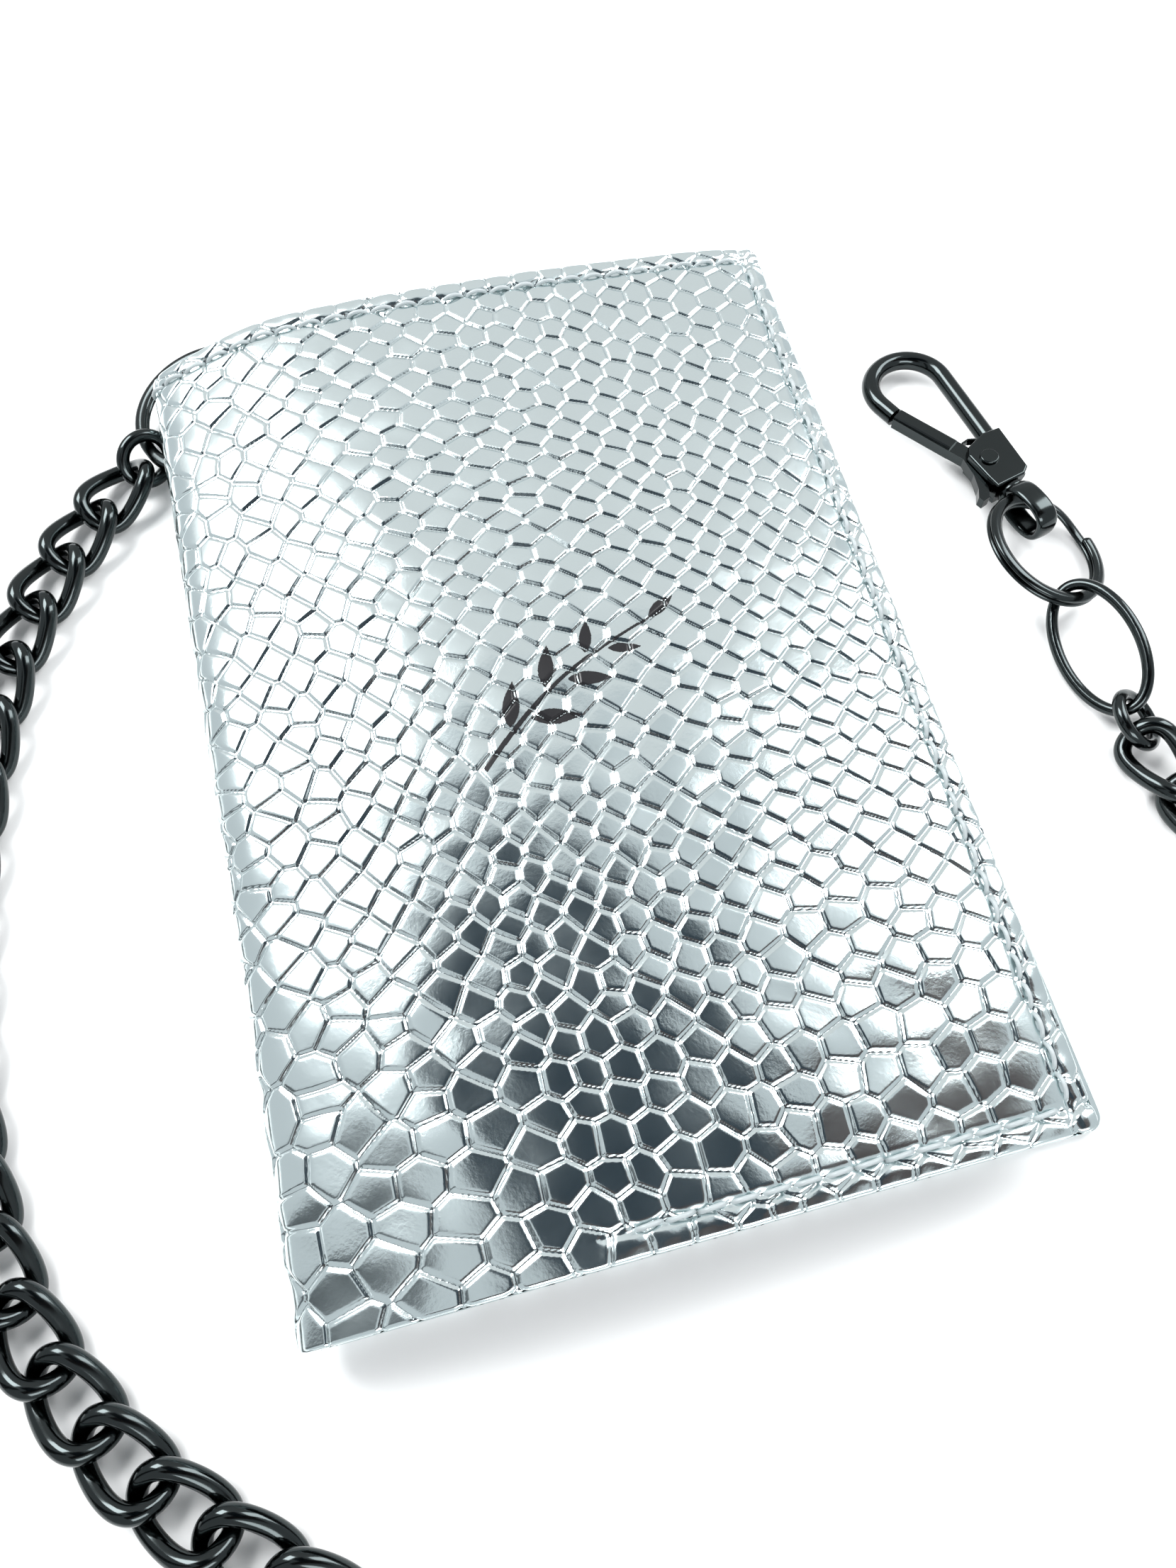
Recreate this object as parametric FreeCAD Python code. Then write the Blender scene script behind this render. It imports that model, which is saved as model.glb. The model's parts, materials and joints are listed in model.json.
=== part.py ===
import FreeCAD, Part
import math
import os

# Folding chain wallet: embossed soft covers over boards and card pockets, with
# a curb chain from a split ring at the spine to a swivel snap hook.
# Frame: millimetres, +Z up, origin at the centre of the back cover's flat face.
# +X runs from the spine to the free edge, +Y along the spine.
V = FreeCAD.Vector

# ---- wallet ----
WALLET_W = 80.0          # spine to free edge
WALLET_H = 115.0         # along the spine
SKIN_T = 0.9
BOARD_T = 0.5
LINING_T = 0.4
POCKET_T = 0.4
BILL_GAP = 0.25          # slack between the skin and the board
SKIN_START_X = -34.3     # where the flat back skin turns into the spine
FRONT_START_X = -31.0    # where the spine turns into the front skin
FRONT_EDGE_FAR_X = 39.6  # the front cover's free edge, at the far corner
FRONT_EDGE_NEAR_X = 36.6 # and at the near corner, short of the back cover
# height of the front cover's outer face above the table, against X
TOP = [(-31.0, 10.05), (-26.9, 10.75), (-21.2, 11.3), (-13.0, 11.5), (-4.5, 11.3), (7.0, 10.75),
       (18.5, 9.85), (28.0, 8.95), (34.0, 8.15), (37.5, 7.35), (40.2, 6.5)]
# outer face of the spine, from the back skin round to the front skin
SPINE = [(-34.3, 0.0), (-36.3, 0.38), (-38.1, 1.45), (-39.4, 3.2), (-40.0, 5.5), (-39.3, 7.3), (-37.4, 8.55), (-34.4, 9.4), (-31.0, 10.05)]
TIER_STEP = 11.0         # step between the card pockets' edges
STITCH_PITCH = 3.0
STITCH_INSET = 2.4

# ---- split ring at the spine ----
ANCHOR_C = (-33.7, 51.7, 3.95)
ANCHOR_R, ANCHOR_WIRE_R = 9.15, 0.83
ANCHOR_SLOPE = 0.14
HOOK_ON_DEG = 204.0
EYELET_Y, EYELET_Z = 44.45, 3.25
EYELET_R, EYELET_WIRE_R = 2.25, 0.30

# ---- chain ----
LINK_WIRE_R = 0.98
LINK_A, LINK_B, LINK_C = 4.68, 2.92, 1.17
LINK_K, LINK_M = -0.12, 0.08
PITCH = 7.12
LINKS = 45
LINKS_PER_SEGMENT = 3
GAP = 0.28
CHAIN_Z = LINK_C + LINK_WIRE_R + 0.02

CONN_A, CONN_B, CONN_R = 3.0, 2.63, 0.80
CONN_TILT, CONN_PITCH, CONN_Z, CONN_DV = -48.2, 9.3, 2.853, 0.13
CONN_OFF, J1_OFF = 1.092, 3.114
ROUND_R, ROUND_WIRE_R = 3.1, 0.75
ROUND_TILT, ROUND_PITCH, ROUND_Z, ROUND_DV = 34.8, -6.2, 2.617, -0.35
OVAL_A, OVAL_B, OVAL_WIRE_R = 8.2, 4.3, 0.68
OVAL_TILT, OVAL_PITCH, OVAL_Z, OVAL_DV = -34.0, -2.6, 3.181, -0.25
KEY_R, KEY_WIRE_R, KEY_TILT, KEY_Z = 7.3, 0.83, 21.7, 3.58
KEY_C = (59.8, 5.9)
END_DIR = (-0.04, 1.0)
ROUTE = [(-47.5, 43.2), (-52.9, 37.0), (-58.0, 29.5), (-62.2, 21.5), (-66.2, 8.0), (-69.3, -10.0),
         (-69.6, -29.0), (-66.0, -46.5), (-57.5, -62.0), (-48.7, -72.5), (-38.0, -83.5), (-24.0, -95.0),
         (-7.0, -104.5), (12.3, -109.0), (31.0, -107.0), (47.0, -98.5), (58.5, -84.5), (64.5, -67.5),
         (65.5, -50.0), (64.0, -35.0), (62.6, -24.5)]
FREE_FROM_Y = -60.0      # below this the loop is let out until the links fit

# ---- snap hook ----
HOOK_O = (59.98, 11.35, 3.69)
HOOK_DIR = (-0.256, 0.967)
HOOK_DROP_DEG = 3.7      # the tip lies on the table
CHEEK_OUT, CHEEK_IN = 1.7, 0.85
LOOP_R, LOOP_WIRE_R = 4.85, 1.15
GATE_HALF = 0.70
RIVET_S, RIVET_L, RIVET_R = 8.3, 0.2, 0.75
RIVET_HOLE_R = 0.80
STEM_R, STEM_HOLE_R = 1.00, 1.06


# ---------------------------------------------------------------- helpers
def unit(v):
    n = math.sqrt(sum(x * x for x in v))
    return tuple(x / n for x in v)


def spline(points, per=60):
    """Dense points along a Catmull-Rom curve through the route."""
    p = [tuple(2 * points[0][k] - points[1][k] for k in (0, 1))] + list(points)
    p.append(tuple(2 * points[-1][k] - points[-2][k] for k in (0, 1)))
    out = []
    for i in range(1, len(p) - 2):
        for s in range(per):
            t = s / per
            out.append(tuple(0.5 * (2 * p[i][k] + (p[i + 1][k] - p[i - 1][k]) * t
                                    + (2 * p[i - 1][k] - 5 * p[i][k] + 4 * p[i + 1][k] - p[i + 2][k]) * t * t
                                    + (3 * p[i][k] - p[i - 1][k] - 3 * p[i + 1][k] + p[i + 2][k]) * t ** 3)
                             for k in (0, 1)))
    out.append(tuple(points[-1]))
    return out


def step_along(curve, start, pitch, at):
    """The next point of the curve at a straight distance of pitch from start."""
    for j in range(at, len(curve) - 1):
        d0 = math.dist(curve[j], start)
        d1 = math.dist(curve[j + 1], start)
        if d0 < pitch <= d1:
            f = (pitch - d0) / (d1 - d0)
            return tuple(curve[j][k] + f * (curve[j + 1][k] - curve[j][k]) for k in (0, 1)), j
    return None, at


def chain_joints():
    """The points where one link hangs on the next, from the spine to the hook."""
    a = math.radians(HOOK_ON_DEG)
    hook_on = (ANCHOR_C[0] + ANCHOR_R * math.cos(a), ANCHOR_C[1] + ANCHOR_R * math.sin(a))
    u = unit((ROUTE[0][0] - hook_on[0], ROUTE[0][1] - hook_on[1]))
    j1 = (hook_on[0] + u[0] * J1_OFF, hook_on[1] + u[1] * J1_OFF)
    d = unit(END_DIR)
    c_round = (LINK_A - PITCH / 2) - (ROUND_WIRE_R + LINK_WIRE_R + GAP) + ROUND_R
    c_oval = c_round + ROUND_R - (ROUND_WIRE_R + OVAL_WIRE_R + GAP) + OVAL_A
    c_key = c_oval + OVAL_A - (OVAL_WIRE_R + KEY_WIRE_R + GAP) + KEY_R
    end = (KEY_C[0] - d[0] * c_key, KEY_C[1] - d[1] * c_key)

    def walk(let_out):
        route = [(x, y - let_out * min(1.0, (FREE_FROM_Y - y) / 25.0)) if y < FREE_FROM_Y else (x, y) for x, y in ROUTE]
        curve = spline([j1] + route + [end])
        joints, at = [j1], 0
        for _ in range(LINKS):
            nxt, at = step_along(curve, joints[-1], PITCH, at)
            if nxt is None:
                # past the end: carry on straight, so that the search can tell how far
                nxt = (joints[-1][0] + d[0] * PITCH, joints[-1][1] + d[1] * PITCH)
            joints.append(nxt)
        return joints, (joints[-1][0] - end[0]) * d[0] + (joints[-1][1] - end[1]) * d[1]

    low, high = -12.0, 12.0
    for _ in range(40):
        mid = (low + high) / 2
        if walk(mid)[1] > 0:
            low = mid
        else:
            high = mid
    joints, left = walk((low + high) / 2)
    return dict(hook_on=hook_on, u=u, joints=joints, end=end, d=d, off=(c_round, c_oval, c_key), left=left, let_out=(low + high) / 2)


def frame(origin, u, drop_deg=0.0):
    """A placement with local x along u (in plan), y to its left and z up."""
    a = math.degrees(math.atan2(u[1], u[0]))
    turn = FreeCAD.Rotation(V(0, 0, 1), a).multiply(FreeCAD.Rotation(V(0, 1, 0), drop_deg))
    return FreeCAD.Placement(V(*origin), turn)


def placed(shape, place):
    out = shape.copy()
    out.Placement = place.multiply(out.Placement)
    return out


def closed_tube(centre, tangent, normal, radius, around=8, along=28):
    """A tube about a closed curve, as one smooth surface closed both ways."""
    # a uniform cubic with poles on a circle runs inside them: let them out by as much
    grow_a = 3.0 / (2.0 + math.cos(2 * math.pi / around))
    grow_l = 3.0 / (2.0 + math.cos(2 * math.pi / along))
    poles = []
    for i in range(along):
        t = 2 * math.pi * i / along
        c, e, n = centre(t), tangent(t), normal(t)
        e = e.normalize()
        n = (n - e * n.dot(e)).normalize()
        b = e.cross(n)
        row = []
        for j in range(around):
            w = 2 * math.pi * j / around
            p = n * (radius * grow_a * math.cos(w)) + b * (radius * grow_a * math.sin(w))
            row.append(V(c.x * grow_l, c.y * grow_l, c.z) + p)
        poles.append(row)
    s = Part.BSplineSurface()
    s.buildFromPolesMultsKnots(poles, [1] * (along + 1), [1] * (around + 1), list(range(along + 1)), list(range(around + 1)), True, True, 3, 3)
    shell = Part.Shell([s.toShape()])
    solid = Part.Solid(shell)
    if solid.Volume < 0:
        solid.reverse()
    return solid


def curb_link():
    a, b, c, k, m = LINK_A, LINK_B, LINK_C, LINK_K, LINK_M

    def centre(t):
        return V((a - k) * math.cos(t) + k * math.cos(3 * t), (b + m) * math.sin(t) + m * math.sin(3 * t), -c * math.sin(2 * t))

    def tangent(t):
        return V(-(a - k) * math.sin(t) - 3 * k * math.sin(3 * t), (b + m) * math.cos(t) + 3 * m * math.cos(3 * t), -2 * c * math.cos(2 * t))

    def normal(t):
        return V(math.cos(t) / a, math.sin(t) / b, 0)
    return closed_tube(centre, tangent, normal, LINK_WIRE_R)


def oval_tube(a, b, r, tilt, pitch):
    solid = closed_tube(lambda t: V(a * math.cos(t), b * math.sin(t), 0),
                        lambda t: V(-a * math.sin(t), b * math.cos(t), 0),
                        lambda t: V(math.cos(t) / a, math.sin(t) / b, 0), r)
    turn = FreeCAD.Rotation(V(0, 1, 0), pitch).multiply(FreeCAD.Rotation(V(1, 0, 0), tilt))
    solid.Placement = FreeCAD.Placement(V(0, 0, 0), turn)
    return solid


def split_ring(radius, wire_r):
    """Two turns of wire lying on each other: one solid with a groove between them."""
    minor = wire_r * 0.56
    h = wire_r - minor
    turns = []
    for side in (h, -h):
        section = Part.Ellipse(V(radius + wire_r, 0, side), V(radius, 0, side + minor), V(radius, 0, side)).toShape()
        turns.append(Part.Face(Part.Wire(section)).revolve(V(0, 0, 0), V(0, 0, 1), 360))
    return turns[0].fuse(turns[1]).removeSplitter().Solids[0]


def top_z(x):
    """Height of the front cover's outer face, by a smooth curve through TOP."""
    pts = TOP
    if x <= pts[0][0]:
        i = 0
    else:
        i = max(k for k in range(len(pts) - 1) if pts[k][0] <= x) if x < pts[-1][0] else len(pts) - 2

    def slope(k):
        if k == 0:
            return (pts[1][1] - pts[0][1]) / (pts[1][0] - pts[0][0])
        if k == len(pts) - 1:
            return (pts[-1][1] - pts[-2][1]) / (pts[-1][0] - pts[-2][0])
        return (pts[k + 1][1] - pts[k - 1][1]) / (pts[k + 1][0] - pts[k - 1][0])
    x0, z0 = pts[i]
    x1, z1 = pts[i + 1]
    h = x1 - x0
    t = (x - x0) / h
    return ((2 * t ** 3 - 3 * t ** 2 + 1) * z0 + (t ** 3 - 2 * t ** 2 + t) * h * slope(i)
            + (-2 * t ** 3 + 3 * t ** 2) * z1 + (t ** 3 - t ** 2) * h * slope(i + 1))


def curve_edge(points, y):
    c = Part.BSplineCurve()
    c.interpolate([V(x, y, z) for x, z in points])
    return c.toShape()


def sheet_between(low, high, y0, y1):
    """A solid between two open curves in X-Z, drawn out along Y."""
    a, b = curve_edge(low, y0), curve_edge(high, y0)
    ends = [Part.makeLine(V(low[0][0], y0, low[0][1]), V(high[0][0], y0, high[0][1])),
            Part.makeLine(V(low[-1][0], y0, low[-1][1]), V(high[-1][0], y0, high[-1][1]))]
    face = Part.Face(Part.Wire(Part.__sortEdges__([a, b] + ends)))
    return face.extrude(V(0, y1 - y0, 0))


def front_layer(x0, x1, y0, y1, depth, thick, n=15):
    xs = [x0 + (x1 - x0) * i / (n - 1) for i in range(n)]
    return sheet_between([(x, top_z(x) - depth - thick) for x in xs], [(x, top_z(x) - depth) for x in xs], y0, y1)


def offset_curve(points, d):
    """Points moved by d to the inner side of the spine."""
    out = []
    for i, p in enumerate(points):
        a = points[max(i - 1, 0)]
        b = points[min(i + 1, len(points) - 1)]
        t = unit((b[0] - a[0], b[1] - a[1]))
        out.append((p[0] + t[1] * d, p[1] - t[0] * d))
    return out


def slab(x0, x1, y0, y1, z0, z1, r=0.0):
    s = Part.makeBox(x1 - x0, y1 - y0, z1 - z0, V(x0, y0, z0))
    if r:
        edges = [e for e in s.Edges if abs(e.Vertexes[0].Z - e.Vertexes[1].Z) > (z1 - z0) / 2 and e.Vertexes[0].X > (x0 + x1) / 2]
        s = s.makeFillet(r, edges)
    return s


def prism(points, z0, z1):
    wire = Part.makePolygon([V(x, y, z0) for x, y in points] + [V(points[0][0], points[0][1], z0)])
    return Part.Face(wire).extrude(V(0, 0, z1 - z0))


def front_mask(inset=0.0, r=1.5):
    """The front cover's outline in plan, with its free edge a little slanting."""
    y0, y1 = -WALLET_H / 2 + inset, WALLET_H / 2 - inset
    xa, xb = FRONT_EDGE_NEAR_X - inset, FRONT_EDGE_FAR_X - inset
    c = 0.45 * r
    pts = [(-60, y0), (xa - r, y0), (xa - c, y0 + c * 0.62), (xa, y0 + r), (xb, y1 - r), (xb - c, y1 - c * 0.62), (xb - r, y1), (-60, y1)]
    return prism(pts, -2, 20)


def stitch(p, direction, slope_deg=0.0, length=2.3, width=0.5, high=0.3):
    """One stitch lying on a face at p, along direction in plan."""
    box = Part.makeBox(length, width, high, V(-length / 2, -width / 2, 0))
    box = box.makeFillet(0.12, [e for e in box.Edges if e.BoundBox.ZMin > high / 2])
    a = math.degrees(math.atan2(direction[1], direction[0]))
    turn = FreeCAD.Rotation(V(0, 0, 1), a).multiply(FreeCAD.Rotation(V(0, 1, 0), -slope_deg))
    box.Placement = FreeCAD.Placement(V(*p), turn)
    return box


def write(name, shape):
    solids = shape.Solids
    out = solids[0] if len(solids) == 1 else Part.makeCompound(solids)
    for s in solids:
        if not s.isValid() or s.Volume <= 0:
            print("check", name, s.isValid(), s.Volume)
    out.exportStep("parts/%s.step" % name)
    print("%-24s solids %2d  volume %9.2f" % (name, len(solids), sum(s.Volume for s in solids)))


# ---------------------------------------------------------------- wallet
def build_wallet():
    y0, y1 = -WALLET_H / 2, WALLET_H / 2
    half_w = WALLET_W / 2
    z = 0.0
    write("back_skin", slab(SKIN_START_X, half_w, y0, y1, 0.0, SKIN_T, 1.5))
    z = SKIN_T + BILL_GAP
    write("back_board", slab(-32.0, 37.6, y0 + 2.6, y1 - 4.0, z, z + BOARD_T, 1.0))
    z = z + BOARD_T + 0.15
    write("back_lining", slab(-32.0, 35.2, y0 + 3.3, y1 - 4.5, z, z + LINING_T, 1.2))
    lining_top = z + LINING_T
    z = lining_top + 0.06
    for i, name in enumerate(["back_pocket_upper", "back_pocket_middle", "back_pocket_lower"]):
        write(name, slab(-28.5, 34.0, y0 + 4.6, y1 - TIER_STEP * (i + 1), z, z + POCKET_T, 0.8))
        z += POCKET_T + 0.06

    # front cover: every layer follows the outer face's curve
    mask = front_mask()
    write("front_skin", front_layer(FRONT_START_X, 39.9, y0, y1, 0.0, SKIN_T).common(mask))
    d = SKIN_T + BILL_GAP
    write("front_board", front_layer(-29.5, 37.4, y0 + 2.6, y1 - 4.0, d, BOARD_T).common(front_mask(2.2)))
    d += BOARD_T + 0.15
    write("front_lining", front_layer(-30.2, 39.2, y0 + 0.8, y1 - 1.8, d, LINING_T).common(front_mask(0.7)))
    d += LINING_T + 0.06
    for i, name in enumerate(["front_pocket_upper", "front_pocket_middle", "front_pocket_lower"]):
        write(name, front_layer(-27.5, 31.5, y0 + 4.6, y1 - TIER_STEP * (i + 1), d, POCKET_T))
        d += POCKET_T + 0.06

    # spine: the skin bends round, its lining inside it; both are pierced for the split ring
    hole = Part.makeCylinder(EYELET_R + EYELET_WIRE_R + 0.06, 8.0, V(-43.5, EYELET_Y, EYELET_Z), V(1, 0, 0))
    inner = offset_curve(SPINE, SKIN_T)
    inner[0] = (SPINE[0][0], SKIN_T)
    inner[-1] = (FRONT_START_X, top_z(FRONT_START_X) - SKIN_T)
    write("spine_skin", sheet_between(inner, SPINE, y0, y1).cut(hole))
    a, b = offset_curve(SPINE, SKIN_T + 0.12), offset_curve(SPINE, SKIN_T + 0.12 + LINING_T)
    a, b = a[1:-1], b[1:-1]
    write("spine_lining", sheet_between(b, a, y0 + 1.0, y1 - 2.0).cut(hole))
    eyelet = Part.makeTorus(EYELET_R, EYELET_WIRE_R, V(-39.12, EYELET_Y, EYELET_Z), V(1, 0, 0))
    write("spine_eyelet", eyelet)

    # stitching round the three free edges, lying on the front skin, and on the back lining
    stitches = []
    x = -37.0
    while x < FRONT_EDGE_NEAR_X - 3.0:
        if x > FRONT_START_X + 1.4:
            slope = math.degrees(math.atan((top_z(x + 0.5) - top_z(x - 0.5))))
            for y in (y0 + STITCH_INSET, y1 - STITCH_INSET):
                stitches.append(stitch((x, y, top_z(x) + 0.05), (1, 0), slope))
        x += STITCH_PITCH
    n = int((WALLET_H - 2 * STITCH_INSET - 2) / STITCH_PITCH)
    for i in range(n + 1):
        y = y0 + STITCH_INSET + 1.6 + i * (WALLET_H - 2 * STITCH_INSET - 3.2) / n
        f = (y - y0) / WALLET_H
        x = FRONT_EDGE_NEAR_X + (FRONT_EDGE_FAR_X - FRONT_EDGE_NEAR_X) * f - STITCH_INSET
        slope = (top_z(x + 0.3) - top_z(x - 0.3)) / 0.6
        s = stitch((x, y, top_z(x) + 0.05 + 0.25 * abs(slope)), ((FRONT_EDGE_FAR_X - FRONT_EDGE_NEAR_X) / WALLET_H, 1))
        stitches.append(s)
    write("front_stitching", Part.makeCompound(stitches))
    stitches = []
    x = -28.0
    while x < 32.0:
        stitches.append(stitch((x, y0 + 4.0, lining_top + 0.02), (1, 0), length=1.9, width=0.4))
        x += STITCH_PITCH
    for i in range(n):
        y = y0 + 6.0 + i * (WALLET_H - 12.5) / (n - 1)
        stitches.append(stitch((34.6, y, lining_top + 0.02), (0, 1), length=1.9, width=0.4))
    write("back_stitching", Part.makeCompound(stitches))

    # a small leafy sprig in dark foil, lying on the front skin
    band = front_layer(-20.0, 20.0, -20.0, 20.0, -0.10, 0.08)
    ang = math.radians(33.0)
    shapes = []

    def at(s, l):
        return (-1.0 + s * math.cos(ang) - l * math.sin(ang), -2.0 + s * math.sin(ang) + l * math.cos(ang))

    def bow(s):
        return 1.6 * math.sin((s + 12.5) / 25.0 * math.pi)
    left, right = [], []
    for i in range(13):
        s = -12.5 + 25.0 * i / 12
        w = 0.34 * (1.0 - 0.5 * i / 12)
        left.append(at(s, bow(s) + w))
        right.append(at(s, bow(s) - w))
    shapes.append(prism(left + right[::-1], 5, 15))
    for s, side, length in [(-7.5, 1, 5.6), (-5.2, -1, 5.6), (-1.5, 1, 5.2), (0.8, -1, 5.0), (4.5, 1, 4.2), (6.6, -1, 3.8), (12.9, 0, 4.2)]:
        base_a = 42.0 * side
        leaf = []
        for i in range(9):
            f = i / 8
            leaf.append((0.35 + f * length, 0.17 * length * math.sin(math.pi * f ** 0.8)))
        outline = leaf + [(p, -q) for p, q in leaf[-2:0:-1]]
        ca, sa = math.cos(math.radians(base_a)), math.sin(math.radians(base_a))
        off = bow(s) if abs(s) < 12.5 else 0.0
        shapes.append(prism([at(s + p * ca - q * sa, off + side * 0.3 + p * sa + q * ca) for p, q in outline], 5, 15))
    solids = []
    for s in shapes:
        solids += band.common(s).Solids
    write("front_emblem", Part.makeCompound(solids))


# ---------------------------------------------------------------- chain
def build_chain():
    o = chain_joints()
    j = o["joints"]
    print("links %d, let out %.2f, end error %.3f, chain %.1f mm" % (len(j) - 1, o["let_out"], o["left"], PITCH * (len(j) - 1)))
    ring = split_ring(ANCHOR_R, ANCHOR_WIRE_R)
    ring.Placement = FreeCAD.Placement(V(*ANCHOR_C), FreeCAD.Rotation(V(0, 1, 0), -math.degrees(math.atan(ANCHOR_SLOPE))))
    write("anchor_ring", ring)
    u = o["u"]
    left = (-u[1], u[0])
    c = (o["hook_on"][0] + u[0] * CONN_OFF + left[0] * CONN_DV, o["hook_on"][1] + u[1] * CONN_OFF + left[1] * CONN_DV, CONN_Z)
    write("connector_link", placed(oval_tube(CONN_A, CONN_B, CONN_R, CONN_TILT, CONN_PITCH), frame(c, u)))
    link = curb_link()
    print("hook on", [round(x, 4) for x in o["hook_on"]], "u", [round(x, 5) for x in u])
    for s in range(LINKS // LINKS_PER_SEGMENT):
        group = []
        for i in range(s * LINKS_PER_SEGMENT, (s + 1) * LINKS_PER_SEGMENT):
            a, b = j[i], j[i + 1]
            mid = ((a[0] + b[0]) / 2, (a[1] + b[1]) / 2, CHAIN_Z)
            group.append(placed(link, frame(mid, unit((b[0] - a[0], b[1] - a[1])))))
        write("chain_segment_%02d" % (s + 1), Part.makeCompound(group))
        print("joint before segment %02d at" % (s + 1), [round(x, 4) for x in j[s * LINKS_PER_SEGMENT]])
    print("joint after the last segment at", [round(x, 4) for x in j[-1]])
    d = o["d"]
    left = (-d[1], d[0])
    c_round, c_oval, c_key = o["off"]

    def on_line(s, dv, z):
        return (o["end"][0] + d[0] * s + left[0] * dv, o["end"][1] + d[1] * s + left[1] * dv, z)
    write("round_link", placed(oval_tube(ROUND_R, ROUND_R, ROUND_WIRE_R, ROUND_TILT, ROUND_PITCH), frame(on_line(c_round, ROUND_DV, ROUND_Z), d)))
    write("oval_link", placed(oval_tube(OVAL_A, OVAL_B, OVAL_WIRE_R, OVAL_TILT, OVAL_PITCH), frame(on_line(c_oval, OVAL_DV, OVAL_Z), d)))
    key = split_ring(KEY_R, KEY_WIRE_R)
    key.Placement = FreeCAD.Placement(V(0, 0, 0), FreeCAD.Rotation(V(1, 0, 0), KEY_TILT))
    write("key_ring", placed(key, frame((KEY_C[0], KEY_C[1], KEY_Z), d)))
    print("line", [round(x, 4) for x in o["end"]], "d", [round(x, 5) for x in d], "offsets", [round(x, 3) for x in o["off"]])


# ---------------------------------------------------------------- snap hook
def arm_path():
    d = unit((19.0, -2.45))
    n = (-d[1], d[0])
    a = (4.9, -1.95)
    b = (a[0] + d[0] * 18.3, a[1] + d[1] * 18.3)
    c = (b[0] + LOOP_R * n[0], b[1] + LOOP_R * n[1])
    start = math.atan2(b[1] - c[1], b[0] - c[0])
    end = math.radians(98.0)
    mid = (start + end) / 2

    def on(t):
        return V(c[0] + LOOP_R * math.cos(t), c[1] + LOOP_R * math.sin(t), 0)
    p = on(end)
    t = (-math.sin(end), math.cos(end))
    nose = V(p.x + t[0] * 2.4, p.y + t[1] * 2.4, 0)
    edges = [Part.LineSegment(V(a[0], a[1], 0), V(b[0], b[1], 0)).toShape(),
             Part.Arc(V(b[0], b[1], 0), on(mid), p).toShape(),
             Part.LineSegment(p, nose).toShape()]
    return Part.Wire(edges), V(a[0], a[1], 0), V(d[0], d[1], 0), nose, c


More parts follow.
